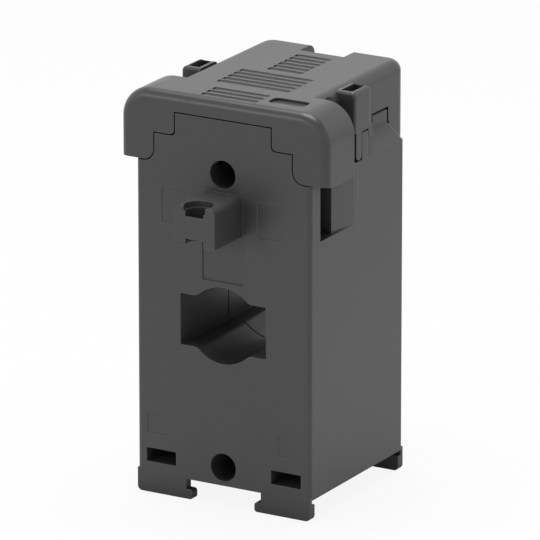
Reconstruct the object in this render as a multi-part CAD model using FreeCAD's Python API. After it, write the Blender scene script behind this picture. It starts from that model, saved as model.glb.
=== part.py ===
import FreeCAD
import Part
import math
import os

from FreeCAD import Vector

os.makedirs("parts", exist_ok=True)

# Window-type current transformer. Millimetres: X runs across the front, Y from front to back, Z up.
# The origin is on the floor, under the middle of the whole outline.

# Housing, two tubs that meet half way back
housing_width = 62.8
housing_depth = 59.8
underside_z = 6.6
housing_height = 103.4
wall = 2.0
edge_round = 1.5
lip_depth = 2.2
lip_thick = 0.9
seam_gap = 0.45
seam_groove = 0.55

# Window for a flat bar or a round cable
slot_width = 31.0
slot_height = 17.0
cable_bore = 25.2
window_rise = 52.9
tunnel_wall = 1.6
window_round = 3.0

# Two fixing bores that run right through
fixing_bore = 9.2
fixing_low_rise = 6.1
fixing_high_drop = 1.1
fixing_wall = 1.4

# Sockets low on the front and back, for mounting accessories
socket_width = 10.8
socket_height = 4.6
socket_depth = 10.0
socket_x = 22.7
socket_rise = 5.9
socket_wall = 1.2

# Feet: thin plates on the front and back, hooked towards the middle
foot_inner_x = 13.6
foot_thick = 3.0
hook_reach = 2.3
hook_height = 3.2
foot_corner = 1.6
hook_round = 0.9
foot_notch = 4.4
foot_notch_height = 1.6
foot_notch_depth = 1.7

# Shoulder and collar that the cover sits on
shoulder_rise = 5.0
collar_height = 6.4
collar_wall = 1.6

# Front tongue that stands up into the cover
tongue_half = 17.2
hood_band = 6.4
step_half = 24.7
step_height = 7.5
lobe_drop = 0.5
lobe_round = 4.2
tongue_round = 1.5

# Screw guide on the front
guide_width = 14.3
guide_reach = 17.4
guide_drop = 7.0
guide_height = 13.0
guide_bore = 9.5
guide_bore_from_front = 2.7
guide_plate = 1.5
guide_rim = 0.5
guide_rim_depth = 2.0
guide_bar_low = 2.4
guide_bar_height = 6.8
guide_round = 2.0

# Shallow label field under the guide
field_height = 16.3
field_width = 15.0
field_depth = 0.4

# Bare shallow fields on the front, two beside the guide and two low down
mark_depth = 0.22
mark_round = 1.4
upper_mark_x = 17.3
upper_mark_z = 96.0
upper_mark_width = 9.8
upper_mark_height = 12.0
lower_mark_x = 23.8
lower_mark_z = 23.3
lower_mark_width = 8.2
lower_mark_height = 7.4

# Wire pockets in the sides, under the cover's wings
pocket_start = 6.2
pocket_length = 8.7
pocket_height = 19.7
pocket_depth = 7.0
pocket_wall = 1.2
ramp_length = 12.2
ramp_depth = 1.0

# Cover
cover_height = 22.8
cover_overhang = 12.0
cover_half = 25.6
trunk_overlap = 4.0
cover_wall = 2.2
cover_roof = 2.2
cover_gap = 0.3
side_round = 3.6
corner_round = 5.5
skirt_drop = 2.1
skirt_rise = 5.4
skirt_run = 7.2
hood_half = 37.2
hood_length = 17.3
hood_round = 10.0
hood_edge = 2.8
wing_wall = 1.6
scoop_wall_x = 24.4
back_notch_half = 8.0
back_notch_depth = 9.6

# Grip grooves in the cover's top, three banks: each bank's middle behind the front, half length and count
groove_pitch = 3.45
groove_width = 2.7
groove_depth = 0.8
front_bank = 8.0
front_bank_half = 10.0
front_groove_count = 3
middle_bank = 26.4
middle_bank_half = 13.0
middle_groove_count = 5
back_bank = 48.0
back_bank_half = 6.25
back_groove_count = 6

# Bare badge recess beside the front bank
badge_x = 18.6
badge_from_front = 9.1
badge_length = 12.8
badge_width = 5.8
badge_depth = 0.9
badge_round = 1.8

# Latch on each side: a box with two legs that straddle a finger of the housing
latch_start = 28.0
latch_length = 11.1
latch_edge = 0.9
latch_wall = 1.7
latch_front_wall = 1.3
latch_back_wall = 0.8
leg_thick = 2.1
leg_inset = 1.0
leg_width = 3.3
leg_gap = 0.4
back_leg_rise = 6.5
finger_width = 3.5
finger_thick = 2.1
finger_height = 9.0
latch_round = 1.6
latch_corner = 2.0
lead_in = 0.4

# Snap lug on the collar and the notch over it
lug_start = 48.9
lug_length = 10.8
lug_height = 4.9
lug_gap = 0.75
lug_reach = 2.4

# Core, its two cups, the winding and its tape, as rings of one oval
core_thick = 4.4
cushion_thick = 2.2
ring_straight = 25.0
ring_clearance = 0.75
cup_wall = 1.2
winding_build = 1.5
tape_build = 0.3
winding_gap = 8.0
fit_gap = 0.05

# Terminals, one each side: a carrier with a current bar and a clamp at each end
carrier_half = 4.4
carrier_height = 12.0
carrier_wall = 0.9
carrier_floor = 1.4
carrier_clear = 0.3
carrier_start = 5.0
bar_thick = 1.0
bar_width = 3.4
bar_lift = 3.0
clamp_width = 5.6
clamp_strip = 0.5
clamp_length = 8.4
clamp_height = 9.0
clamp_round = 1.6
clamp_inset = 0.6
clamp_slack = 0.1
wire_bore = 4.4
bay_drop = 5.4
bay_floor = 1.8
bay_slope = 3.1

# Lead wires from the winding to the bars
lead_wire = 1.2
lead_sleeve = 2.2
lead_hole = 1.8
lead_clear = 1.0
lead_bend = 1.5
lead_touch = 0.02
sleeve_start = 6.2
sleeve_length = 6.0

# Worked out from the sizes above
front_y = guide_reach - (guide_reach + housing_depth + cover_overhang) / 2
back_y = front_y + housing_depth
parting_y = front_y + housing_depth / 2
cover_back_y = back_y + cover_overhang
half_width = housing_width / 2
shoulder_z = underside_z + housing_height
window_z = underside_z + window_rise
fixing_low_z = underside_z + fixing_low_rise
fixing_high_z = shoulder_z - fixing_high_drop
socket_z = underside_z + socket_rise
cover_top_z = shoulder_z + cover_height
tongue_top_z = cover_top_z - hood_band
step_z = tongue_top_z - step_height
lobe_z = shoulder_z - lobe_drop
guide_top_z = shoulder_z - guide_drop
guide_low_z = guide_top_z - guide_height
field_low_z = guide_low_z - field_height
pocket_low_z = shoulder_z - pocket_height
skirt_z = shoulder_z - skirt_drop
skirt_slope_z = skirt_z + skirt_rise
latch_box_z = shoulder_z + finger_height + leg_gap
bay_floor_z = shoulder_z - bay_drop
bay_slope_z = bay_floor_z - bay_slope
shoulder_top_z = shoulder_z + shoulder_rise
ledge_half = cover_half
collar_half = cover_half - cover_wall - cover_gap
collar_top_z = shoulder_top_z + collar_height
hood_back_y = front_y + hood_length
latch_front_y = front_y + latch_start
latch_back_y = latch_front_y + latch_length
leg_front_y = latch_front_y + leg_inset
finger_front_y = leg_front_y + leg_width + leg_gap
finger_back_y = finger_front_y + finger_width
bay_back_y = cover_back_y - cover_wall - cover_gap
bay_inner_x = back_notch_half + cover_wall + cover_gap
guide_bar_z = guide_low_z + guide_bar_low
guide_bar_top_z = guide_bar_z + guide_bar_height
carrier_x = collar_half - collar_wall - carrier_clear - carrier_half
carrier_front_y = front_y + carrier_start
carrier_back_y = bay_back_y - collar_wall - carrier_clear
carrier_floor_z = shoulder_z + carrier_floor
bar_z = carrier_floor_z + bar_lift
clamp_front_y = carrier_front_y + carrier_wall + clamp_inset
clamp_back_y = carrier_back_y - carrier_wall - clamp_inset - clamp_length
wire_way_y = front_y + pocket_start + pocket_length / 2
wire_way_z = shoulder_top_z + wire_bore / 2 + cover_gap
lug_front_y = front_y + lug_start
lug_back_y = lug_front_y + lug_length
far = 200.0


def block(x0, x1, y0, y1, z0, z1):
    return Part.makeBox(x1 - x0, y1 - y0, z1 - z0, Vector(x0, y0, z0))


def mirrored(shape):
    return shape.mirror(Vector(0, 0, 0), Vector(1, 0, 0))


def both(shape):
    return shape.fuse(mirrored(shape))


def rod(x, z, radius, y0, y1):
    return Part.makeCylinder(radius, y1 - y0, Vector(x, y0, z), Vector(0, 1, 0))


def post(x, y, radius, z0, z1):
    return Part.makeCylinder(radius, z1 - z0, Vector(x, y, z0), Vector(0, 0, 1))


def front_prism(points, y0, y1):
    corners = [Vector(x, y0, z) for x, z in points]
    wire = Part.makePolygon(corners + corners[:1])
    return Part.Face(wire).extrude(Vector(0, y1 - y0, 0))


def side_prism(points, x0, x1):
    corners = [Vector(x0, y, z) for y, z in points]
    wire = Part.makePolygon(corners + corners[:1])
    return Part.Face(wire).extrude(Vector(x1 - x0, 0, 0))


def plan_prism(points, z0, z1):
    corners = [Vector(x, y, z0) for x, y in points]
    wire = Part.makePolygon(corners + corners[:1])
    return Part.Face(wire).extrude(Vector(0, 0, z1 - z0))


def edges_where(shape, test):
    found = []
    for edge in shape.Edges:
        box = edge.BoundBox
        if test(box):
            found.append(edge)
    return found


def window(grow, y0, y1):
    half = slot_width / 2 + grow
    height = slot_height / 2 + grow
    slot = block(-half, half, y0, y1, window_z - height, window_z + height)
    shape = slot.fuse(rod(0, window_z, cable_bore / 2 + grow, y0, y1)).removeSplitter()
    inner = edges_where(shape, lambda b: b.XLength < 0.01 and b.ZLength < 0.01 and abs(b.XMin) < half - 1)
    return shape.makeFillet(window_round, inner)


def oval(grow, y0, y1):
    # a ring's outline round the window: a straight middle with a round top and bottom
    radius = ring_inner_radius + grow
    straight = ring_straight / 2
    middle = block(-radius, radius, y0, y1, window_z - straight, window_z + straight)
    top = rod(0, window_z + straight, radius, y0, y1)
    bottom = rod(0, window_z - straight, radius, y0, y1)
    return middle.fuse([top, bottom]).removeSplitter()


def ring(inner, outer, y0, y1):
    return oval(outer, y0, y1).cut(oval(inner, y0 - 1, y1 + 1))


ring_inner_radius = slot_width / 2 + tunnel_wall + ring_clearance
tape_inner = 0.0
winding_inner = tape_inner + tape_build
cup_inner = winding_inner + winding_build
core_inner = cup_inner + cup_wall + fit_gap
core_outer = core_inner + core_thick
cup_outer = core_outer + fit_gap + cup_wall
winding_outer = cup_outer + winding_build
tape_outer = winding_outer + tape_build
tape_front_y = front_y + wall + cushion_thick
tape_back_y = back_y - wall - cushion_thick
winding_front_y = tape_front_y + tape_build
winding_back_y = tape_back_y - tape_build
cup_front_y = winding_front_y + winding_build
cup_back_y = winding_back_y - winding_build
core_front_y = cup_front_y + cup_wall + fit_gap
core_back_y = cup_back_y - cup_wall - fit_gap
lead_level = window_z + ring_straight / 2 + ring_inner_radius + tape_outer + lead_clear


def tongue_outline(grow):
    # everything of the front plate that the cover leaves free, with the rounded corners of its lobes
    r = lobe_round - grow
    centre_x = step_half + lobe_round
    centre_z = lobe_z + lobe_round
    wide = half_width * 2
    low = underside_z - 1
    top = lobe_z + grow
    side = step_half + grow
    arc_mid = Vector(centre_x - r * math.sin(math.pi / 4), 0, centre_z - r * math.cos(math.pi / 4))
    right = [
        Vector(wide, 0, top),
        Vector(centre_x, 0, top),
        Vector(side, 0, centre_z),
        Vector(side, 0, step_z + grow),
        Vector(tongue_half + grow, 0, step_z + grow),
        Vector(tongue_half + grow, 0, tongue_top_z + grow),
    ]
    edges = [
        Part.makeLine(right[0], right[1]),
        Part.Arc(right[1], arc_mid, right[2]).toShape(),
        Part.makeLine(right[2], right[3]),
        Part.makeLine(right[3], right[4]),
        Part.makeLine(right[4], right[5]),
        Part.makeLine(right[5], Vector(-right[5].x, 0, right[5].z)),
    ]
    left = [Vector(-p.x, 0, p.z) for p in right]
    mid_left = Vector(-arc_mid.x, 0, arc_mid.z)
    edges += [
        Part.makeLine(left[5], left[4]),
        Part.makeLine(left[4], left[3]),
        Part.makeLine(left[3], left[2]),
        Part.Arc(left[2], mid_left, left[1]).toShape(),
        Part.makeLine(left[1], left[0]),
        Part.makeLine(left[0], Vector(-wide, 0, low)),
        Part.makeLine(Vector(-wide, 0, low), Vector(wide, 0, low)),
        Part.makeLine(Vector(wide, 0, low), right[0]),
    ]
    return Part.Face(Part.Wire(Part.__sortEdges__(edges)))


def tongue_solid(grow, y0, y1):
    face = tongue_outline(grow)
    face.translate(Vector(0, y0, 0))
    solid = face.extrude(Vector(0, y1 - y0, 0))
    inner = edges_where(
        solid,
        lambda b: b.XLength < 0.01 and b.ZLength < 0.01
        and abs(abs(b.XMin) - (tongue_half + grow)) < 0.01
        and abs(b.ZMin - (step_z + grow)) < 0.01,
    )
    return solid.makeFillet(tongue_round, inner)


def collar(y0, y1):
    outer = block(-collar_half, collar_half, y0, y1, shoulder_z, collar_top_z)
    inner_half = collar_half - collar_wall
    return outer, inner_half


def feet(y0, y1, inner_y):
    # inner_y is the side of the plate that faces the middle of the housing
    foot = block(foot_inner_x, half_width, y0, y1, 0, underside_z + 1)
    corner = edges_where(foot, lambda b: b.YLength > 1 and b.XMin > half_width - 0.01 and b.ZMax < 0.01)
    foot = foot.makeFillet(foot_corner, corner)
    hook = block(foot_inner_x - hook_reach, foot_inner_x + 0.1, y0, y1, 0, hook_height)
    tip = edges_where(hook, lambda b: b.XMax < foot_inner_x - hook_reach + 0.01 and b.YLength > 1)
    hook = hook.makeFillet(hook_round, tip)
    notch = block(half_width - foot_notch, half_width + 1, inner_y - foot_notch_depth,
                  inner_y + foot_notch_depth, underside_z - foot_notch_height, underside_z)
    return both(foot.fuse(hook).cut(notch))


def shell_walls(y0, y1, plate_y0, plate_y1):
    # one tub of the housing: walls with the shoulder's slopes, end plate, tunnel and fixing tubes
    outer = front_prism(
        [
            (-half_width, underside_z), (half_width, underside_z), (half_width, shoulder_z),
            (ledge_half, shoulder_top_z), (-ledge_half, shoulder_top_z), (-half_width, shoulder_z),
        ],
        y0, y1,
    )
    end_y = plate_y0 if plate_y0 == y0 else plate_y1
    corners = edges_where(outer, lambda b: b.ZLength > 1 and b.YLength < 0.01 and abs(b.YMin - end_y) < 0.01)
    outer = outer.makeFillet(edge_round, corners)
    cavity_y0 = plate_y1 if plate_y0 == y0 else y0 - 1
    cavity_y1 = y1 + 1 if plate_y0 == y0 else plate_y0
    cavity = block(-half_width + wall, half_width - wall, cavity_y0, cavity_y1,
                   underside_z + wall, shoulder_z - wall)
    tub = outer.cut(cavity)
    return tub.fuse([
        window(tunnel_wall, y0, y1),
        rod(0, fixing_low_z, fixing_bore / 2 + fixing_wall, y0, y1),
        rod(0, fixing_high_z, fixing_bore / 2 + fixing_wall, y0, y1),
    ])


def socket_walls(y0, y1):
    half = socket_width / 2
    return both(block(
        socket_x - half - socket_wall, socket_x + half + socket_wall, y0, y1,
        socket_z - socket_height / 2 - socket_wall, socket_z + socket_height / 2 + socket_wall,
    ))


def socket_holes(y0, y1):
    half = socket_width / 2
    return both(block(
        socket_x - half, socket_x + half, y0, y1,
        socket_z - socket_height / 2, socket_z + socket_height / 2,
    ))


def shell_openings(y0, y1):
    # a fine groove marks where the two halves meet inside the window
    return [
        window(0, y0 - 1, y1 + 1),
        window(seam_groove, parting_y - seam_groove / 2, parting_y + seam_groove / 2),
        rod(0, fixing_low_z, fixing_bore / 2, y0 - 1, y1 + 1),
        rod(0, fixing_high_z, fixing_bore / 2, y0 - 1, y1 + 1),
    ]


def latch_relief():
    # room in the shoulder for the cover's front leg and the finger behind it
    return both(block(ledge_half, half_width + 1, leg_front_y - leg_gap, finger_back_y + leg_gap,
                      shoulder_z, shoulder_top_z + 1))


def latch_fingers():
    finger = block(half_width - finger_thick, half_width, finger_front_y, finger_back_y,
                   shoulder_z - 1, shoulder_z + finger_height)
    nose = edges_where(
        finger, lambda b: b.ZMin > shoulder_z + 1 and b.YLength > 1 and b.XMin > half_width - 0.1)
    return both(finger.makeChamfer(lead_in, nose))


def snap_lugs():
    # lugs that fill the notches in the cover's side walls, flush but for a gap
    lug = block(collar_half - 0.5, collar_half + lug_reach, lug_front_y + lug_gap, lug_back_y - lug_gap,
                shoulder_top_z - 0.5, shoulder_top_z + lug_height - lug_gap)
    nose = edges_where(
        lug, lambda b: b.YLength > 1 and b.ZMin > shoulder_top_z + 1 and b.XMin > collar_half)
    return both(lug.makeChamfer(lead_in, nose))


def pocket_walls():
    y0 = front_y + pocket_start
    return both(block(
        half_width - pocket_depth - pocket_wall, half_width - wall / 2,
        y0 - pocket_wall, y0 + pocket_length + pocket_wall,
        pocket_low_z - pocket_wall, shoulder_z,
    ))


def pocket_cuts():
    y0 = front_y + pocket_start
    y1 = y0 + pocket_length
    hole = block(half_width - pocket_depth, half_width + 1, y0, y1, pocket_low_z, shoulder_top_z + 1)
    ramp = plan_prism(
        [(half_width - ramp_depth, y1 - 0.1), (half_width + 0.2, y1 - 0.1),
         (half_width + 0.2, y1 + ramp_length + 1), (half_width, y1 + ramp_length)],
        pocket_low_z, shoulder_z,
    )
    return both(hole.fuse(ramp))


def wire_ways():
    # side holes through the collar, above the pockets
    hole = Part.makeCylinder(wire_bore / 2, collar_wall * 3,
                             Vector(collar_half - collar_wall * 2, wire_way_y, wire_way_z), Vector(1, 0, 0))
    return both(hole)


def screw_guide():
    half = guide_width / 2
    tip_y = front_y - guide_reach
    body = block(-half, half, tip_y, front_y + 0.5, guide_low_z, guide_top_z)
    crests = edges_where(body, lambda b: b.YLength > 5 and b.ZMin > guide_top_z - 0.01)
    body = body.makeFillet(guide_round, crests)
    # the bore breaks through the front, and a plate across it leaves a notch above and one below
    bore_y = tip_y + guide_bore_from_front
    bore = post(0, bore_y, guide_bore / 2 - guide_rim, guide_low_z - 1, guide_top_z + 1)
    rim = post(0, bore_y, guide_bore / 2, guide_top_z - guide_rim_depth, guide_top_z + 1)
    plate = block(-half, half, tip_y, tip_y + guide_plate, guide_bar_z, guide_bar_top_z)
    return body.cut([bore, rim]).fuse(plate)


def label_field():
    half = field_width / 2
    return block(-half, half, front_y - 1, front_y + field_depth, field_low_z, guide_low_z)


def mark_fields():
    marks = []
    for x, z, width, height in (
        (upper_mark_x, upper_mark_z, upper_mark_width, upper_mark_height),
        (lower_mark_x, lower_mark_z, lower_mark_width, lower_mark_height),
    ):
        body = block(x - width / 2, x + width / 2, front_y - 1, front_y + mark_depth,
                     z - height / 2, z + height / 2)
        corners = edges_where(body, lambda b: b.XLength < 0.01 and b.ZLength < 0.01)
        marks.append(both(body.makeFillet(mark_round, corners)))
    return marks


def front_shell():
    plate_y1 = front_y + wall
    behind_y = plate_y1 + seam_gap
    tub = shell_walls(front_y, parting_y, front_y, plate_y1)
    tub = tub.fuse([socket_walls(front_y, front_y + socket_depth + socket_wall), pocket_walls()])
    # the cover's front lies in the plane of the front plate, so the housing starts behind it there
    corner = block(-half_width - 1, half_width + 1, front_y - 1, behind_y, lobe_z - 1, far)
    tub = tub.cut(corner.cut(tongue_solid(0, front_y - wall, behind_y + 1)))
    lobe_centre_x = step_half + lobe_round
    plate = tongue_solid(0, front_y, plate_y1)
    plate = plate.common(block(-lobe_centre_x, lobe_centre_x, front_y, plate_y1, lobe_z - 1, far))
    web = block(-tongue_half, tongue_half, plate_y1 - 0.2, behind_y + 0.2, shoulder_z - 1, step_z - 1)
    outer, inner_half = collar(behind_y, parting_y)
    inner = block(-inner_half, inner_half, behind_y + collar_wall, parting_y + 1, shoulder_z, far)
    tub = tub.cut(inner)
    foot_inner_y = front_y + foot_thick
    tub = tub.fuse([plate, web, outer.cut(inner), feet(front_y, foot_inner_y, foot_inner_y), screw_guide()])
    tub = tub.cut([pocket_cuts(), wire_ways(), latch_relief(), label_field(), lead_holes()] + mark_fields())
    tub = tub.cut(shell_openings(front_y, parting_y))
    tub = tub.cut(socket_holes(front_y - 1, front_y + socket_depth))
    return tub.removeSplitter()


def back_bay():
    # the collar runs on past the back wall as a bay for each terminal
    outline = [
        (back_y - 1, bay_slope_z), (back_y, bay_slope_z), (bay_back_y, bay_floor_z),
        (bay_back_y, collar_top_z), (back_y - 1, collar_top_z),
    ]
    outer = side_prism(outline, bay_inner_x, collar_half)
    back_corner = edges_where(
        outer, lambda b: b.ZLength > 5 and b.YMin > bay_back_y - 0.01 and b.XMin > collar_half - 0.01)
    outer = outer.makeFillet(corner_round - cover_wall - cover_gap, back_corner)
    room = [
        (back_y - collar_wall - 1, shoulder_z), (back_y, shoulder_z),
        (bay_back_y - collar_wall, bay_floor_z + bay_floor), (bay_back_y - collar_wall, far),
        (back_y - collar_wall - 1, far),
    ]
    inner = side_prism(room, bay_inner_x + collar_wall, collar_half - collar_wall)
    return outer, inner


def lead_holes():
    return both(post(carrier_x, parting_y, lead_hole / 2, shoulder_z - wall - 1, shoulder_z + 1))


def back_shell():
    plate_y0 = back_y - wall
    tub = shell_walls(parting_y, back_y, plate_y0, back_y)
    tub = tub.fuse(socket_walls(back_y - socket_depth - socket_wall, back_y))
    lip_outer = block(-half_width + wall + fit_gap, half_width - wall - fit_gap,
                      parting_y - lip_depth, parting_y + 1,
                      underside_z + wall + fit_gap, shoulder_z - wall - fit_gap)
    lip_inner = block(-half_width + wall + lip_thick, half_width - wall - lip_thick,
                      parting_y - lip_depth - 1, parting_y + lip_depth,
                      underside_z + wall + lip_thick, shoulder_z - wall - lip_thick)
    keep_clear = [
        rod(0, fixing_low_z, fixing_bore / 2 + fixing_wall + fit_gap, parting_y - lip_depth - 1, parting_y),
        rod(0, fixing_high_z, fixing_bore / 2 + fixing_wall + fit_gap, parting_y - lip_depth - 1, parting_y),
    ]
    lip = lip_outer.cut(lip_inner).cut(keep_clear)
    outer, inner_half = collar(parting_y, back_y)
    inner = block(-inner_half, inner_half, parting_y - 1, back_y - collar_wall, shoulder_z, far)
    bay, bay_room = back_bay()
    tub = tub.cut(inner)
    foot_inner_y = back_y - foot_thick
    tub = tub.fuse([lip, outer.cut(inner), feet(foot_inner_y, back_y, foot_inner_y), both(bay)])
    tub = tub.cut(both(bay_room))
    tub = tub.cut(latch_relief())
    tub = tub.fuse([latch_fingers(), snap_lugs()])
    tub = tub.cut(shell_openings(parting_y - lip_depth, back_y))
    tub = tub.cut(socket_holes(back_y - socket_depth, back_y + 1))
    entry_y = clamp_back_y + clamp_length / 2
    entry = post(carrier_x, entry_y, wire_bore / 2, bay_slope_z - 1, shoulder_z + 1)
    tub = tub.cut([both(entry), lead_holes()])
    return tub.removeSplitter()


def hood_outer(shrink, y0, y1, low_z):
    half = hood_half - shrink
    top = cover_top_z - shrink
    body = block(-half, half, y0, y1, low_z, top)
    arches = edges_where(body, lambda b: b.YLength > 5 and b.ZMin > top - 0.01)
    return body.makeFillet(hood_round - shrink, arches)


def trunk_outer():
    body = block(-cover_half, cover_half, hood_back_y - trunk_overlap, cover_back_y, skirt_z, cover_top_z)
    corners = edges_where(body, lambda b: b.ZLength > 5 and b.YMin > cover_back_y - 0.01)
    body = body.makeFillet(corner_round, corners)
    sides = edges_where(
        body,
        lambda b: b.ZMin > cover_top_z - 0.01 and (b.YMin > hood_back_y - trunk_overlap + 1 or b.YLength > trunk_overlap + 1),
    )
    sides = [e for e in sides if e.BoundBox.YMax > hood_back_y]
    return body.makeFillet(side_round, sides)


def trunk_inner():
    top = cover_top_z - cover_roof
    half = cover_half - cover_wall
    body = block(-half, half, front_y + wall, cover_back_y - cover_wall, skirt_z - 1, top)
    corners = edges_where(body, lambda b: b.ZLength > 5 and b.YMin > cover_back_y - cover_wall - 0.01)
    body = body.makeFillet(corner_round - cover_wall, corners)
    notch = block(-back_notch_half - cover_wall, back_notch_half + cover_wall,
                  cover_back_y - back_notch_depth - cover_wall, far, 0, far)
    return body.cut(notch)


def latch_box():
    x0 = cover_half - 1
    outer = block(x0, half_width, latch_front_y, latch_back_y, latch_box_z, cover_top_z)
    crest = edges_where(outer, lambda b: b.ZMin > cover_top_z - 0.01 and b.XMin > half_width - 0.01)
    outer = outer.makeFillet(latch_round, crest)
    ridge = edges_where(
        outer, lambda b: b.XLength > 1 and b.ZMin > cover_top_z - 0.01 and b.YMin > latch_back_y - 0.01)
    outer = outer.makeFillet(latch_corner, ridge)
    front_corner = edges_where(
        outer, lambda b: b.ZLength > 5 and b.YMax < latch_front_y + 0.01 and b.XMin > half_width - 0.01)
    outer = outer.makeFillet(latch_edge, front_corner)
    low_z = shoulder_z + leg_gap
    front_leg = block(half_width - leg_thick, half_width, leg_front_y, leg_front_y + leg_width,
                      low_z, latch_box_z + 1)
    tip = edges_where(front_leg, lambda b: b.XLength > 1 and b.ZMax < low_z + 0.01)
    front_leg = front_leg.makeFillet(leg_width / 2 - 0.05, tip)
    back_leg = block(half_width - leg_thick, half_width, finger_back_y + leg_gap, latch_back_y,
                     shoulder_z + back_leg_rise, latch_box_z + 1)
    return outer.fuse([front_leg, back_leg])


def latch_hollow():
    return block(cover_half, half_width - latch_wall, latch_front_y + latch_front_wall,
                 latch_back_y - latch_back_wall, latch_box_z - 1, cover_top_z + 1)


def scoop():
    mid_y = (hood_back_y + latch_front_y) / 2
    radius = (latch_front_y - hood_back_y) / 2
    round_part = post(scoop_wall_x + radius, mid_y, radius, skirt_z - 1, cover_top_z + 1)
    open_part = block(scoop_wall_x + radius, half_width + 1, hood_back_y, latch_front_y,
                      skirt_z - 1, cover_top_z + 1)
    return both(round_part.fuse(open_part))


def grooves():
    # round-bottomed channels across the top
    radius = (groove_width ** 2 / 4 + groove_depth ** 2) / (2 * groove_depth)
    axis_z = cover_top_z - groove_depth + radius
    cuts = []
    banks = [
        (front_bank, front_bank_half, front_groove_count),
        (middle_bank, middle_bank_half, middle_groove_count),
        (back_bank, back_bank_half, back_groove_count),
    ]
    for mid, half_length, count in banks:
        first = front_y + mid - groove_pitch * (count - 1) / 2
        for k in range(count):
            y = first + groove_pitch * k
            cuts.append(Part.makeCylinder(radius, 2 * half_length, Vector(-half_length, y, axis_z),
                                          Vector(1, 0, 0)))
    return cuts


def badge_recess():
    y = front_y + badge_from_front
    body = block(badge_x - badge_length / 2, badge_x + badge_length / 2,
                 y - badge_width / 2, y + badge_width / 2,
                 cover_top_z - badge_depth, cover_top_z + 1)
    return body.makeFillet(badge_round, edges_where(body, lambda b: b.ZLength > 1))


def terminal_cover():
    hood = hood_outer(0, front_y, hood_back_y, lobe_z)
    face_edge = edges_where(
        hood,
        lambda b: b.YLength < 0.01 and b.YMin < front_y + 0.01 and b.ZMax > lobe_z + 1,
    )
    hood = hood.makeFillet(hood_edge, face_edge)
    hood = hood.cut(hood_outer(wing_wall, front_y + wall, hood_back_y - wing_wall, lobe_z - 1))
    hood = hood.cut(tongue_solid(seam_gap, front_y - 1, front_y + wall + seam_gap))
    trunk = trunk_outer()
    latches = both(latch_box())
    shell = hood.fuse([trunk, latches])
    shell = shell.cut(scoop())
    shell = shell.cut(trunk_inner())
    notch = block(-back_notch_half, back_notch_half, cover_back_y - back_notch_depth,
                  cover_back_y + 1, skirt_z - 1, cover_top_z + 1)
    shell = shell.cut(notch)
    # the cover's walls stand on the shoulder, and their lower edge slopes down behind the housing
    housing_room = front_prism(
        [
            (-half_width - leg_gap, underside_z), (half_width + leg_gap, underside_z),
            (half_width + leg_gap, shoulder_z), (ledge_half, shoulder_top_z),
            (-ledge_half, shoulder_top_z), (-half_width - leg_gap, shoulder_z),
        ],
        front_y + wall + seam_gap, back_y + leg_gap,
    )
    slope = side_prism(
        [
            (back_y - 1, underside_z), (lug_back_y + skirt_run, underside_z),
            (lug_back_y + skirt_run, skirt_z), (lug_back_y, skirt_slope_z),
            (back_y - 1, skirt_slope_z),
        ],
        -far, far,
    )
    legs = both(latch_box().common(block(0, far, -far, far, 0, latch_box_z)))
    shell = shell.cut([housing_room, slope]).fuse(legs)
    lug_room = block(collar_half - 1, cover_half + 1, lug_front_y, lug_back_y,
                     skirt_z - 1, shoulder_top_z + lug_height)
    shell = shell.cut(both(lug_room))
    shell = shell.cut([both(latch_hollow())] + grooves() + [badge_recess()])
    return shell.removeSplitter()


def ring_core():
    return ring(core_inner, core_outer, core_front_y, core_back_y)


def core_cup(front):
    y0 = cup_front_y if front else parting_y
    y1 = parting_y if front else cup_back_y
    room_y0 = core_front_y - fit_gap if front else parting_y - 1
    room_y1 = parting_y + 1 if front else core_back_y + fit_gap
    room = ring(core_inner - fit_gap, core_outer + fit_gap, room_y0, room_y1)
    return ring(cup_inner, cup_outer, y0, y1).cut(room)


def top_gap(width):
    return block(-width / 2, width / 2, -far, far, window_z, far)


def winding():
    body = ring(winding_inner, winding_outer, winding_front_y, winding_back_y)
    body = body.cut(ring(cup_inner, cup_outer, cup_front_y, cup_back_y))
    return body.cut(top_gap(winding_gap))


def tape():
    body = ring(tape_inner, tape_outer, tape_front_y, tape_back_y)
    body = body.cut(ring(winding_inner, winding_outer, winding_front_y, winding_back_y))
    return body.cut(top_gap(winding_gap + 2))


def cushion(front):
    if front:
        return ring(tape_inner + 1, tape_outer - 1, front_y + wall, tape_front_y)
    return ring(tape_inner + 1, tape_outer - 1, tape_back_y, back_y - wall)


def carrier():
    x0 = carrier_x - carrier_half
    x1 = carrier_x + carrier_half
    tray = block(x0, x1, carrier_front_y, carrier_back_y, shoulder_z, shoulder_z + carrier_height)
    room = block(x0 + carrier_wall, x1 - carrier_wall,
                 carrier_front_y + carrier_wall, carrier_back_y - carrier_wall, carrier_floor_z, far)
    tray = tray.cut(room)
    # two cross walls carry the bar between the clamps
    for y in (clamp_front_y + clamp_length + clamp_inset, clamp_back_y - clamp_inset - carrier_wall):
        tray = tray.fuse(block(x0, x1, y, y + carrier_wall, shoulder_z, bar_z))
    entry_y = clamp_back_y + clamp_length / 2
    entry = post(carrier_x, entry_y, wire_bore / 2, shoulder_z - 1, carrier_floor_z + 1)
    lead = post(carrier_x, parting_y, lead_hole / 2, shoulder_z - 1, carrier_floor_z + 1)
    side = Part.makeCylinder(wire_bore / 2, carrier_wall * 3,
                             Vector(x1 - carrier_wall * 2, wire_way_y, wire_way_z), Vector(1, 0, 0))
    return tray.cut([entry, lead, side]).removeSplitter()


def current_bar():
    return block(carrier_x - bar_width / 2, carrier_x + bar_width / 2,
                 carrier_front_y + carrier_wall, carrier_back_y - carrier_wall,
                 bar_z, bar_z + bar_thick)


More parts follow.
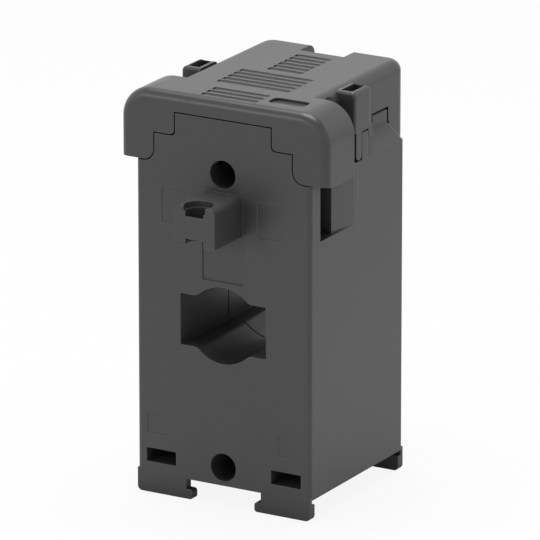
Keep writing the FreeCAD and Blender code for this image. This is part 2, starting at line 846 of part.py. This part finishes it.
def clamp(y0):
    # a strip bent into a closed loop, with a window at each end that the bar passes through
    half = clamp_width / 2
    outer = block(carrier_x - half, carrier_x + half, y0, y0 + clamp_length,
                  carrier_floor_z, carrier_floor_z + clamp_height)
    outer = outer.makeFillet(clamp_round, edges_where(outer, lambda b: b.XLength > 1))
    t = clamp_strip
    inner = block(carrier_x - half - 1, carrier_x + half + 1, y0 + t, y0 + clamp_length - t,
                  carrier_floor_z + t, carrier_floor_z + clamp_height - t)
    inner = inner.makeFillet(clamp_round - t, edges_where(inner, lambda b: b.XLength > 1))
    gap = clamp_slack
    slot = block(carrier_x - bar_width / 2 - gap, carrier_x + bar_width / 2 + gap,
                 y0 - 1, y0 + clamp_length + 1, bar_z, bar_z + bar_thick + gap)
    entry = post(carrier_x, y0 + clamp_length / 2, bar_width / 2, shoulder_z, bar_z)
    return outer.cut([inner, slot, entry])


def lead():
    r = lead_wire / 2
    x0 = winding_gap / 2 - r - lead_touch
    start_z = window_z + ring_straight / 2 + ring_inner_radius + cup_outer
    bend = lead_bend
    points = [
        Vector(x0, parting_y, start_z), Vector(x0, parting_y, lead_level - bend),
        Vector(x0 + bend, parting_y, lead_level), Vector(carrier_x - bend, parting_y, lead_level),
        Vector(carrier_x, parting_y, lead_level + bend), Vector(carrier_x, parting_y, bar_z - lead_touch),
    ]
    c = bend * (1 - math.sqrt(0.5))
    mid_low = Vector(x0 + c, parting_y, lead_level - c)
    mid_high = Vector(carrier_x - c, parting_y, lead_level + c)
    path = Part.Wire([
        Part.makeLine(points[0], points[1]), Part.Arc(points[1], mid_low, points[2]).toShape(),
        Part.makeLine(points[2], points[3]), Part.Arc(points[3], mid_high, points[4]).toShape(),
        Part.makeLine(points[4], points[5]),
    ])
    section = Part.Wire(Part.makeCircle(r, points[0], Vector(0, 0, 1)))
    return path.makePipeShell([section], True, False)


def sleeve():
    start = Vector(sleeve_start, parting_y, lead_level)
    outer = Part.makeCylinder(lead_sleeve / 2, sleeve_length, start, Vector(1, 0, 0))
    inner = Part.makeCylinder(lead_wire / 2 + fit_gap, sleeve_length, start, Vector(1, 0, 0))
    return outer.cut(inner)


def export(name, shape):
    if len(shape.Solids) == 1:
        shape = shape.Solids[0]
    print(name, "valid", shape.isValid(), "solids", len(shape.Solids), "volume", round(shape.Volume, 1))
    shape.exportStep("parts/" + name + ".step")


export("front_shell", front_shell())
export("back_shell", back_shell())
export("terminal_cover", terminal_cover())
export("ring_core", ring_core())
export("core_cup_front", core_cup(True))
export("core_cup_back", core_cup(False))
export("secondary_winding", winding())
export("winding_tape", tape())
export("cushion_front", cushion(True))
export("cushion_back", cushion(False))
for side, turn in (("right", Part.Shape.copy), ("left", mirrored)):
    export("carrier_" + side, turn(carrier()))
    export("current_bar_" + side, turn(current_bar()))
    export("clamp_front_" + side, turn(clamp(clamp_front_y)))
    export("clamp_back_" + side, turn(clamp(clamp_back_y)))
    export("lead_" + side, turn(lead()))
    export("lead_sleeve_" + side, turn(sleeve()))
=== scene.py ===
import math

import bpy
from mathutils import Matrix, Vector


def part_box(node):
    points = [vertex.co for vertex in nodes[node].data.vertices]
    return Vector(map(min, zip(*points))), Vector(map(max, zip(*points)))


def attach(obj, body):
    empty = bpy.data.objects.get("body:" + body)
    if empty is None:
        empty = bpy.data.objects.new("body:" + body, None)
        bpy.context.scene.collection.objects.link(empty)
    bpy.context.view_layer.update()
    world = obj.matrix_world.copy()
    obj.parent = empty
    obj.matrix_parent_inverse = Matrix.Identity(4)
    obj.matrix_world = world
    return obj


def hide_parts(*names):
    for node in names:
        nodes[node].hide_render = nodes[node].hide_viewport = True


mm = 0.001

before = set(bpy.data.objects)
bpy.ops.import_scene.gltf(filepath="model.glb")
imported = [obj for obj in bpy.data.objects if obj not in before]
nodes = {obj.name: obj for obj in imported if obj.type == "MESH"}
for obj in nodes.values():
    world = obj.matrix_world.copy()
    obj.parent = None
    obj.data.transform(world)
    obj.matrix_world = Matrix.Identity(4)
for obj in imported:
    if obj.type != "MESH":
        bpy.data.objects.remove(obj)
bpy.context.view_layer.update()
print("loaded", len(nodes), "nodes")


# node helpers: a socket that adds up like a number, and the graphs it lives in

class Value:
    def __init__(self, graph, socket):
        self.graph = graph
        self.socket = socket

    def math(self, operation, other=None, swapped=False):
        pair = [self] if other is None else [self, other]
        if swapped:
            pair.reverse()
        return self.graph.node("ShaderNodeMath", {"operation": operation}, dict(enumerate(pair)))

    def __add__(self, other):
        return self.math("ADD", other)

    def __radd__(self, other):
        return self.math("ADD", other, True)

    def __sub__(self, other):
        return self.math("SUBTRACT", other)

    def __rsub__(self, other):
        return self.math("SUBTRACT", other, True)

    def __mul__(self, other):
        return self.math("MULTIPLY", other)

    def __rmul__(self, other):
        return self.math("MULTIPLY", other, True)

    def __truediv__(self, other):
        return self.math("DIVIDE", other)

    def __rtruediv__(self, other):
        return self.math("DIVIDE", other, True)

    def __gt__(self, other):
        return self.math("GREATER_THAN", other)

    def __lt__(self, other):
        return self.math("LESS_THAN", other)

    def also(self, out):
        # another output of the node that this value comes from
        return Value(self.graph, self.socket.node.outputs[out])


class Graph:
    def __init__(self, tree):
        self.tree = tree
        self.tree.nodes.clear()

    def node(self, kind, settings=None, inputs=None, out=0):
        made = self.tree.nodes.new(kind)
        for key, value in (settings or {}).items():
            setattr(made, key, value)
        for key, value in (inputs or {}).items():
            socket = made.inputs[key]
            if isinstance(value, Value):
                self.tree.links.new(value.socket, socket)
            else:
                socket.default_value = value
        return Value(self, made.outputs[out])

    def ramp(self, value, low, high, atLow, atHigh):
        return self.node("ShaderNodeMapRange", {"clamp": True}, {
            "Value": value, "From Min": low, "From Max": high, "To Min": atLow, "To Max": atHigh})


class Finish(Graph):
    def __init__(self, name):
        self.material = bpy.data.materials.new(name)
        self.material.use_nodes = True
        super().__init__(self.material.node_tree)
        self.output = self.tree.nodes.new("ShaderNodeOutputMaterial")

    def surface(self, shader):
        self.tree.links.new(shader.socket, self.output.inputs["Surface"])
        return self.material

    def coordinates(self):
        return self.node("ShaderNodeTexCoord", out="Object")

    def noise(self, where, scale, detail=2.0, rough=0.5):
        return self.node("ShaderNodeTexNoise", {}, {"Vector": where, "Scale": scale, "Detail": detail,
                                                    "Roughness": rough})

    def toned(self, factor, look):
        # the look's colour, from its darker tone to its lighter one
        dark, light = (rgb(look["colour"], tone) for tone in look["tones"])
        return self.node("ShaderNodeMix", {"data_type": "RGBA"}, {"Factor": factor, 6: dark, 7: light}, out=2)

    def bump(self, height, distance, strength=1.0, normal=None):
        inputs = {"Height": height, "Distance": distance, "Strength": strength}
        if normal is not None:
            inputs["Normal"] = normal
        return self.node("ShaderNodeBump", {}, inputs)


class Shape(Graph):
    # a geometry graph with named sizes, baked to a plain mesh in the end
    def __init__(self, name, sizes):
        super().__init__(bpy.data.node_groups.new(name, "GeometryNodeTree"))
        self.name = name
        self.sizes = sizes
        face = self.tree.interface
        face.new_socket("Geometry", in_out="OUTPUT", socket_type="NodeSocketGeometry")
        for key, value in sizes.items():
            kind = "NodeSocketInt" if isinstance(value, int) else "NodeSocketFloat"
            face.new_socket(key, in_out="INPUT", socket_type=kind)
        self.entry = self.tree.nodes.new("NodeGroupInput")

    def size(self, key):
        return Value(self, self.entry.outputs[key])

    def vector(self, x=0.0, y=0.0, z=0.0):
        return self.node("ShaderNodeCombineXYZ", {}, {"X": x, "Y": y, "Z": z})

    def move(self, geometry, place=None, turn=(0.0, 0.0, 0.0)):
        return self.node("GeometryNodeTransform", {}, {
            "Geometry": geometry, "Translation": place or self.vector(), "Rotation": turn})

    def roundedRectangle(self, width, height, radius, points):
        quad = self.node("GeometryNodeCurvePrimitiveQuadrilateral", {"mode": "RECTANGLE"},
                         {"Width": width, "Height": height})
        return self.node("GeometryNodeFilletCurve", {"mode": "POLY"},
                         {"Curve": quad, "Count": points, "Radius": radius, "Limit Radius": True})

    def ovalPath(self, radius, count):
        # the way round the window: straight sides, round top and bottom, in the plane of the front
        flat = self.roundedRectangle(radius * 2, radius * 2 + self.size("straight"), radius, 32)
        upright = self.move(flat, turn=(math.pi / 2, 0.0, 0.0))
        return self.node("GeometryNodeResampleCurve", {"mode": "COUNT"}, {"Curve": upright, "Count": count})

    def aroundWindow(self, geometry):
        return self.move(geometry, self.vector(0.0, self.size("middleY"), self.size("middleZ")))

    def underTopGap(self, gap):
        # 1 at the top of the ring, within the gap that the turns leave free
        where = self.node("ShaderNodeSeparateXYZ", {}, {"Vector": self.node("GeometryNodeInputPosition")})
        return (where.math("ABSOLUTE") < gap / 2) * (where.also("Z") > 0.0)

    def bake(self, geometry, material, name):
        whole = self.node("GeometryNodeRealizeInstances", {}, {"Geometry": geometry})
        dressed = self.node("GeometryNodeSetMaterial", {}, {"Geometry": whole, "Material": material})
        end = self.tree.nodes.new("NodeGroupOutput")
        self.tree.links.new(dressed.socket, end.inputs[0])
        piece = bpy.data.objects.new(name, bpy.data.meshes.new(name))
        bpy.context.scene.collection.objects.link(piece)
        maker = piece.modifiers.new(self.name, "NODES")
        maker.node_group = self.tree
        for item in self.tree.interface.items_tree:
            if item.in_out == "INPUT":
                maker[item.identifier] = self.sizes[item.name]
        graph = bpy.context.evaluated_depsgraph_get()
        mesh = bpy.data.meshes.new_from_object(piece.evaluated_get(graph), depsgraph=graph)
        piece.modifiers.clear()
        piece.data = mesh
        return piece


def rgb(colour, factor=1.0):
    return tuple(c * factor for c in colour) + (1.0,)


# moulded plastic: spark-eroded grain, faint flow clouds, softly broken edges, with painted highlights on the
# edges and painted shade in holes

housingLook = {
    "colour": (0.058, 0.061, 0.0595),
    "grainSize": 0.42 * mm,
    "grainDepth": 0.016 * mm,
    "grainShade": 0.16,
    "fineShare": 0.25,
    "cloudSize": 16 * mm,
    "cloudShare": 0.06,
    "roughness": 0.36,
    "speckRoughness": 0.08,
    "cloudRoughness": 0.06,
    "gloss": 1.49,
    "edgeRadius": 0.26 * mm,
    # painted edge highlight: how much lighter the edges are painted, and how open they must be
    "edgeHighlightGain": 8.0,
    "edgeHighlightOpenness": (0.15, 0.55),
    # painted shade in holes: how far to look, where it starts, how dark it is painted and how much rougher
    "cavityReach": 11 * mm,
    "cavityOpenness": (0.15, 0.85),
    "cavityShade": 0.66,
    "cavityRoughness": 0.5,
}
coverLook = dict(housingLook, colour=(0.060, 0.063, 0.0615), grainDepth=0.014 * mm, roughness=0.35)
carrierLook = dict(housingLook, colour=(0.045, 0.048, 0.05), grainSize=0.3 * mm, roughness=0.5,
                   edgeRadius=0.12 * mm)
cupLook = dict(carrierLook, colour=(0.016, 0.016, 0.018))
sleeveLook = dict(carrierLook, colour=(0.5, 0.5, 0.45), edgeRadius=0.05 * mm)


def mouldedPlastic(name, look):
    g = Finish(name)
    where = g.coordinates()
    grain = g.noise(where, 1 / look["grainSize"], 2.5, 0.6)
    fine = g.noise(where, 2.7 / look["grainSize"], 1.0)
    cloud = g.noise(where, 1 / look["cloudSize"], 3.0)
    speck = g.noise(where, 0.55 / look["grainSize"], 0.0)
    # corners are softly broken, and their crests are painted lighter: a painted edge highlight in the colour
    broken = g.node("ShaderNodeBevel", {"samples": 6}, {"Radius": look["edgeRadius"]})
    flat = g.node("ShaderNodeNewGeometry", out="Normal")
    along = g.node("ShaderNodeVectorMath", {"operation": "DOT_PRODUCT"}, {0: broken, 1: flat}, out="Value")
    # 0 deep in a hole, 1 out in the open
    openness = g.node("ShaderNodeAmbientOcclusion", {"samples": 6},
                      {"Distance": look["cavityReach"], "Normal": broken}, out="AO")
    # painted highlight: the colour is lifted on convex edges that stand in the open
    paintedEdgeHighlight = (1 - along) * look["edgeHighlightGain"] * g.ramp(openness, *look["edgeHighlightOpenness"], 0.0, 1.0)
    # painted shade: deep in holes and recesses the colour is darkened, and the roughness is raised
    depth = g.ramp(openness, *look["cavityOpenness"], 1.0, 0.0)
    # the mottle carries the painted edge highlight as well as the grain and clouds
    mottledAndHighlit = 1 + (cloud - 0.5) * 2 * look["cloudShare"] + (grain - 0.5) * look["grainShade"] + paintedEdgeHighlight
    # the painted shade in holes darkens the mottled colour
    shade = mottledAndHighlit * (1 - depth * look["cavityShade"])
    colour = g.node("ShaderNodeVectorMath", {"operation": "SCALE"},
                    {0: look["colour"], "Scale": shade})
    pits = grain * (1 - look["fineShare"]) + fine * look["fineShare"]
    relief = g.bump(pits, look["grainDepth"], 1.0, broken)
    rough = look["roughness"] + (speck - 0.5) * look["speckRoughness"] \
        + (cloud - 0.5) * look["cloudRoughness"] + depth * look["cavityRoughness"]
    return g.surface(g.node("ShaderNodeBsdfPrincipled", {}, {
        "Base Color": colour, "Roughness": rough, "Normal": relief, "IOR": look["gloss"],
    }))


# metals, wires and film inside the housing

barLook = {
    "colour": (0.62, 0.62, 0.60),
    "tones": (0.82, 1.08),
    "stainSize": 6 * mm,
    "roughness": 0.32,
    "roughnessSpread": 0.2,
    "streakWidth": 0.5 * mm,
    "streakStretch": (1, 0.15, 1),
    "streakDepth": 0.01 * mm,
}
springLook = dict(barLook, colour=(0.50, 0.51, 0.52), roughness=0.28, streakWidth=0.3 * mm,
                  streakStretch=(0.2, 1, 1))
coreLook = dict(barLook, colour=(0.33, 0.33, 0.35), roughness=0.38, streakWidth=0.4 * mm,
                streakStretch=(1, 0.1, 1))


def wornMetal(name, look):
    g = Finish(name)
    where = g.coordinates()
    drawn = g.node("ShaderNodeMapping", {}, {"Vector": where, "Scale": look["streakStretch"]})
    lines = g.noise(drawn, 1 / look["streakWidth"], 3.0, 0.6)
    stain = g.noise(where, 1 / look["stainSize"], 3.0)
    return g.surface(g.node("ShaderNodeBsdfPrincipled", {}, {
        "Base Color": g.toned(stain, look), "Metallic": 1.0,
        "Roughness": look["roughness"] + (lines - 0.5) * look["roughnessSpread"],
        "Normal": g.bump(lines, look["streakDepth"]),
    }))


copperLook = {
    "colour": (0.55, 0.20, 0.07),
    "tones": (0.8, 1.1),
    "patchSize": 4 * mm,
    "metallic": 0.9,
    "roughness": 0.28,
    "roughnessSpread": 0.14,
    "lacquer": 0.6,
    "lacquerRoughness": 0.15,
    "grainSize": 0.3 * mm,
    "grainDepth": 0.01 * mm,
}


def lacqueredCopper(name, look):
    g = Finish(name)
    where = g.coordinates()
    patch = g.noise(where, 1 / look["patchSize"], 3.0)
    return g.surface(g.node("ShaderNodeBsdfPrincipled", {}, {
        "Base Color": g.toned(patch, look), "Metallic": look["metallic"],
        "Roughness": look["roughness"] + (patch - 0.5) * look["roughnessSpread"],
        "Coat Weight": look["lacquer"], "Coat Roughness": look["lacquerRoughness"],
        "Normal": g.bump(g.noise(where, 1 / look["grainSize"]), look["grainDepth"]),
    }))


tapeLook = {
    "colour": (0.62, 0.47, 0.16),
    "tones": (0.85, 1.08),
    "roughness": 0.2,
    "wrinkleRoughness": 0.15,
    "wrinkleSize": 2.5 * mm,
    "wrinkleStretch": (1, 0.25, 1),
    "wrinkleDepth": 0.12 * mm,
}


def filmTape(name, look):
    g = Finish(name)
    pulled = g.node("ShaderNodeMapping", {}, {"Vector": g.coordinates(), "Scale": look["wrinkleStretch"]})
    wrinkle = g.noise(pulled, 1 / look["wrinkleSize"], 4.0)
    return g.surface(g.node("ShaderNodeBsdfPrincipled", {}, {
        "Base Color": g.toned(wrinkle, look),
        "Roughness": look["roughness"] + wrinkle * look["wrinkleRoughness"],
        "Normal": g.bump(wrinkle, look["wrinkleDepth"]),
    }))


foamLook = {
    "colour": (0.02, 0.02, 0.02),
    "tones": (0.3, 1.2),
    "roughness": 0.92,
    "cellSize": 0.9 * mm,
    "cellDepth": 0.3 * mm,
}


def openFoam(name, look):
    g = Finish(name)
    cells = g.node("ShaderNodeTexVoronoi", {}, {"Vector": g.coordinates(), "Scale": 1 / look["cellSize"]})
    # the cell pits are painted darker than their rims: painted shade in the pores
    return g.surface(g.node("ShaderNodeBsdfPrincipled", {}, {
        "Base Color": g.toned(cells, look), "Roughness": look["roughness"],
        "Normal": g.bump(cells, look["cellDepth"]),
    }))


housingPlastic = mouldedPlastic("housingPlastic", housingLook)
coverPlastic = mouldedPlastic("coverPlastic", coverLook)
carrierPlastic = mouldedPlastic("carrierPlastic", carrierLook)
cupPlastic = mouldedPlastic("cupPlastic", cupLook)
tinnedBar = wornMetal("tinnedBar", barLook)
springSteel = wornMetal("springSteel", springLook)
copperWire = lacqueredCopper("copperWire", copperLook)
windingTape = filmTape("windingTape", tapeLook)
cushionFoam = openFoam("cushionFoam", foamLook)
sleevePlastic = mouldedPlastic("sleevePlastic", sleeveLook)
coreSteel = wornMetal("coreSteel", coreLook)
print("materials made")

finishes = {
    "front_shell": housingPlastic, "back_shell": housingPlastic, "terminal_cover": coverPlastic,
    "ring_core": coreSteel, "core_cup_front": cupPlastic, "core_cup_back": cupPlastic,
    "secondary_winding": copperWire, "winding_tape": windingTape,
    "cushion_front": cushionFoam, "cushion_back": cushionFoam,
}
for side in ("right", "left"):
    finishes["carrier_" + side] = carrierPlastic
    finishes["current_bar_" + side] = tinnedBar
    finishes["clamp_front_" + side] = springSteel
    finishes["clamp_back_" + side] = springSteel
    finishes["lead_" + side] = copperWire
    finishes["lead_sleeve_" + side] = sleevePlastic

for name, material in finishes.items():
    slots = nodes[name].material_slots
    if not slots:
        nodes[name].data.materials.append(material)
    for slot in slots:
        slot.material = material
print("finishes set")


# what goes round the window: steel strip, copper wire and film, all along one oval

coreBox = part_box("ring_core")
ringStraight = (coreBox[1][2] - coreBox[0][2]) - (coreBox[1][0] - coreBox[0][0])
ringMiddleZ = (coreBox[0][2] + coreBox[1][2]) / 2


def ringSpan(name):
    # a ring's inner and outer radius, read off its straight sides
    beside = [abs(v.co.x) for v in nodes[name].data.vertices
              if abs(v.co.z - ringMiddleZ) < ringStraight / 2 + 0.01 * mm]
    return min(beside), max(beside)


def ringSizes(name, **more):
    inner, outer = ringSpan(name)
    low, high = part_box(name)
    return {"straight": ringStraight, "inner": inner, "outer": outer, "depth": high[1] - low[1],
            "middleY": (low[1] + high[1]) / 2, "middleZ": ringMiddleZ, **more}


def takeOver(piece, name):
    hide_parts(name)
    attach(piece, "housing")


wireLook = {
    "pitchInside": 1.62 * mm,
    "bend": 1.6 * mm,
    "bendPoints": 3,
    "wireSides": 8,
    "topGap": 9.6 * mm,
}


def wireTurns(look):
    wire = ringSpan("secondary_winding")[1] - ringSpan("core_cup_front")[1]
    inner = ringSpan("secondary_winding")[0]
    wayRound = 2 * math.pi * inner + 2 * ringStraight
    g = Shape("wireTurns", ringSizes("secondary_winding", wire=wire, bend=look["bend"], topGap=look["topGap"],
                                     turns=int(wayRound / look["pitchInside"])))
    path = g.ovalPath((g.size("inner") + g.size("outer")) / 2, g.size("turns"))
    loop = g.roundedRectangle(g.size("outer") - g.size("inner") - g.size("wire"),
                              g.size("depth") - g.size("wire"), g.size("bend"), look["bendPoints"])
    section = g.node("GeometryNodeCurvePrimitiveCircle", {},
                     {"Resolution": look["wireSides"], "Radius": g.size("wire") / 2})
    turn = g.node("GeometryNodeCurveToMesh", {}, {"Curve": loop, "Profile Curve": section})
    across = g.node("FunctionNodeAlignRotationToVector", {"axis": "Z", "pivot_axis": "Y"},
                    {"Vector": g.node("GeometryNodeInputTangent")})
    turns = g.node("GeometryNodeInstanceOnPoints", {}, {
        "Points": path, "Selection": 1 - g.underTopGap(g.size("topGap")), "Instance": turn,
        "Rotation": across})
    return g.bake(g.aroundWindow(turns), copperWire, "wireTurns")


takeOver(wireTurns(wireLook), "secondary_winding")

stripLook = {
    "strip": 0.31 * mm,
    "laps": 12,
    "pointsRound": 160,
}


def stripLaps(look):
    inner, outer = ringSpan("ring_core")
    g = Shape("stripLaps", ringSizes("ring_core", strip=look["strip"], laps=look["laps"]))
    pitch = (g.size("outer") - g.size("inner") - g.size("strip")) / (g.size("laps") - 1)
    row = g.node("GeometryNodeMeshLine", {}, {
        "Count": g.size("laps"), "Start Location": g.vector(0.0, g.size("strip") / -2),
        "Offset": g.vector(0.0, pitch * -1)})
    edge = g.node("GeometryNodeCurvePrimitiveQuadrilateral", {"mode": "RECTANGLE"},
                  {"Width": g.size("depth"), "Height": g.size("strip")})
    edges = g.node("GeometryNodeRealizeInstances", {}, {
        "Geometry": g.node("GeometryNodeInstanceOnPoints", {}, {"Points": row, "Instance": edge})})
    laps = g.node("GeometryNodeCurveToMesh", {}, {
        "Curve": g.ovalPath(g.size("inner"), look["pointsRound"]), "Profile Curve": edges})
    return g.bake(g.aroundWindow(laps), coreSteel, "stripLaps")


takeOver(stripLaps(stripLook), "ring_core")

filmLook = {
    "laps": 22,
    "pointsPerLap": 16,
    "step": 0.16 * mm,
    "bend": 1.8 * mm,
    "bendPoints": 4,
    "topGap": 10 * mm,
}


def filmLaps(look):
    # one skin round the winding, with a step at the edge of every lap
    g = Shape("filmLaps", ringSizes("winding_tape", laps=look["laps"], step=look["step"], bend=look["bend"],
                                    topGap=look["topGap"]))
    path = g.ovalPath((g.size("inner") + g.size("outer")) / 2, g.size("laps") * look["pointsPerLap"])
    far = g.node("GeometryNodeSplineParameter")
    marked = g.node("GeometryNodeStoreNamedAttribute", {"data_type": "FLOAT", "domain": "POINT"},
                    {"Geometry": path, "Name": "far", "Value": far})
    section = g.roundedRectangle(g.size("depth") - g.size("step") * 2,
                                 g.size("outer") - g.size("inner") - g.size("step") * 2, g.size("bend"),
                                 look["bendPoints"])
    skin = g.node("GeometryNodeCurveToMesh", {}, {"Curve": marked, "Profile Curve": section})
    part = (g.node("GeometryNodeInputNamedAttribute", {"data_type": "FLOAT"}, {"Name": "far"})
            * g.size("laps")).math("FRACT")
    lift = g.node("ShaderNodeVectorMath", {"operation": "SCALE"},
                  {0: g.node("GeometryNodeInputNormal"), "Scale": part * g.size("step")})
    wound = g.node("GeometryNodeSetPosition", {}, {"Geometry": skin, "Offset": lift})
    parted = g.node("GeometryNodeDeleteGeometry", {"domain": "FACE"},
                    {"Geometry": wound, "Selection": g.underTopGap(g.size("topGap"))})
    return g.bake(g.aroundWindow(parted), windingTape, "filmLaps")


takeOver(filmLaps(filmLook), "winding_tape")
print("ring dressed")


# floor, light and camera

studio = {
    "floorSize": 3.0,
    "floorColour": 0.85,
    "floorWhite": 0.90,
    "floorSheen": 0.38,
    "worldLight": 0.24,
    "whiteUpTo": 0.50,
    "dimFrom": 0.80,
    "dimLight": 0.10,
    "overheadPower": 14.5,
    "overheadSize": 0.9,
    "overheadPlace": (-0.10, 0.10, 1.25),
    "frontPower": 2.8,
    "frontSize": 0.45,
    "frontPlace": (-0.76, -1.36, 0.44),
    "lampAim": (0, 0, 0.08),
}


def seenDirectly(g):
    # 1 for rays that come from the camera, or from metal and glass
    camera = g.node("ShaderNodeLightPath")
    both = camera.math("MAXIMUM", camera.also("Is Glossy Ray"))
    return both.math("MAXIMUM", camera.also("Is Transmission Ray"))


def buildFloor():
    half = studio["floorSize"] / 2
    mesh = bpy.data.meshes.new("floor")
    corners = [(-half, -half, 0), (half, -half, 0), (half, half, 0), (-half, half, 0)]
    mesh.from_pydata(corners, [], [(0, 1, 2, 3)])
    floor = bpy.data.objects.new("floor", mesh)
    bpy.context.scene.collection.objects.link(floor)
    g = Finish("floorWhite")
    plain = g.node("ShaderNodeBsdfDiffuse", {}, {"Color": rgb((studio["floorColour"],) * 3)})
    glow = g.node("ShaderNodeEmission", {}, {"Color": (1, 1, 1, 1), "Strength": 1.0})
    # white to the camera, and a little greyer in what the plastic mirrors of it
    seen = g.ramp(g.node("ShaderNodeLightPath"), 0.0, 1.0, studio["floorSheen"], studio["floorWhite"])
    mesh.materials.append(g.surface(g.node("ShaderNodeMixShader", {}, {
        0: seenDirectly(g) * seen, 1: plain, 2: glow})))


def buildWorld():
    world = bpy.data.worlds.new("studio")
    world.use_nodes = True
    bpy.context.scene.world = world
    g = Graph(world.node_tree)
    output = g.tree.nodes.new("ShaderNodeOutputWorld")
    light = g.node("ShaderNodeBackground", {}, {"Color": (1, 1, 1, 1), "Strength": studio["worldLight"]})
    # the backdrop is white low down and dims overhead, as under a studio's dark ceiling
    towards = g.node("ShaderNodeSeparateXYZ", {}, {"Vector": g.node("ShaderNodeTexCoord", out="Generated")})
    white = g.node("ShaderNodeBackground", {}, {"Color": (1, 1, 1, 1), "Strength": g.ramp(
        towards.also("Z"), studio["whiteUpTo"], studio["dimFrom"], 1.0, studio["dimLight"])})
    mixed = g.node("ShaderNodeMixShader", {}, {0: seenDirectly(g), 1: light, 2: white})
    g.tree.links.new(mixed.socket, output.inputs["Surface"])


def addSoftBox(name, place, aim, size, power):
    lamp = bpy.data.lights.new(name, "AREA")
    lamp.shape = "DISK"
    lamp.size = size
    lamp.energy = power
    holder = bpy.data.objects.new(name, lamp)
    bpy.context.scene.collection.objects.link(holder)
    holder.location = place
    holder.rotation_euler = (Vector(place) - Vector(aim)).to_track_quat("Z", "Y").to_euler()


photoCamera = {
    "imageSize": 540,
    "focalPixels": 7676.0,
    "sensor": 36.0,
    "azimuth": 29.98,
    "elevation": 17.6,
    "distance": 2.424153,
    "targetX": 0.4 * mm,
    "targetHeight": 65 * mm,
    "housingMiddleY": 1.8 * mm,
    "targetPixel": (270.449, 285.228),
    "clipEnd": 20,
}


def addCamera():
    c = photoCamera
    size = c["imageSize"]
    azimuth = math.radians(c["azimuth"])
    elevation = math.radians(c["elevation"])
    back = Vector((math.sin(azimuth) * math.cos(elevation), -math.cos(azimuth) * math.cos(elevation),
                   math.sin(elevation)))
    target = Vector((c["targetX"], c["housingMiddleY"], c["targetHeight"]))
    data = bpy.data.cameras.new("photoCamera")
    data.sensor_width = c["sensor"]
    data.lens = c["focalPixels"] / size * c["sensor"]
    data.shift_x = -(c["targetPixel"][0] - size / 2) / size
    data.shift_y = (c["targetPixel"][1] - size / 2) / size
    data.clip_end = c["clipEnd"]
    camera = bpy.data.objects.new("photoCamera", data)
    bpy.context.scene.collection.objects.link(camera)
    camera.location = target + back * c["distance"]
    camera.rotation_euler = back.to_track_quat("Z", "Y").to_euler()
    bpy.context.scene.camera = camera


buildFloor()
buildWorld()
for box in ("overhead", "front"):
    addSoftBox(box + "Box", studio[box + "Place"], studio["lampAim"], studio[box + "Size"],
               studio[box + "Power"])
addCamera()
bpy.context.scene.view_settings.view_transform = "Standard"
print("stage set")
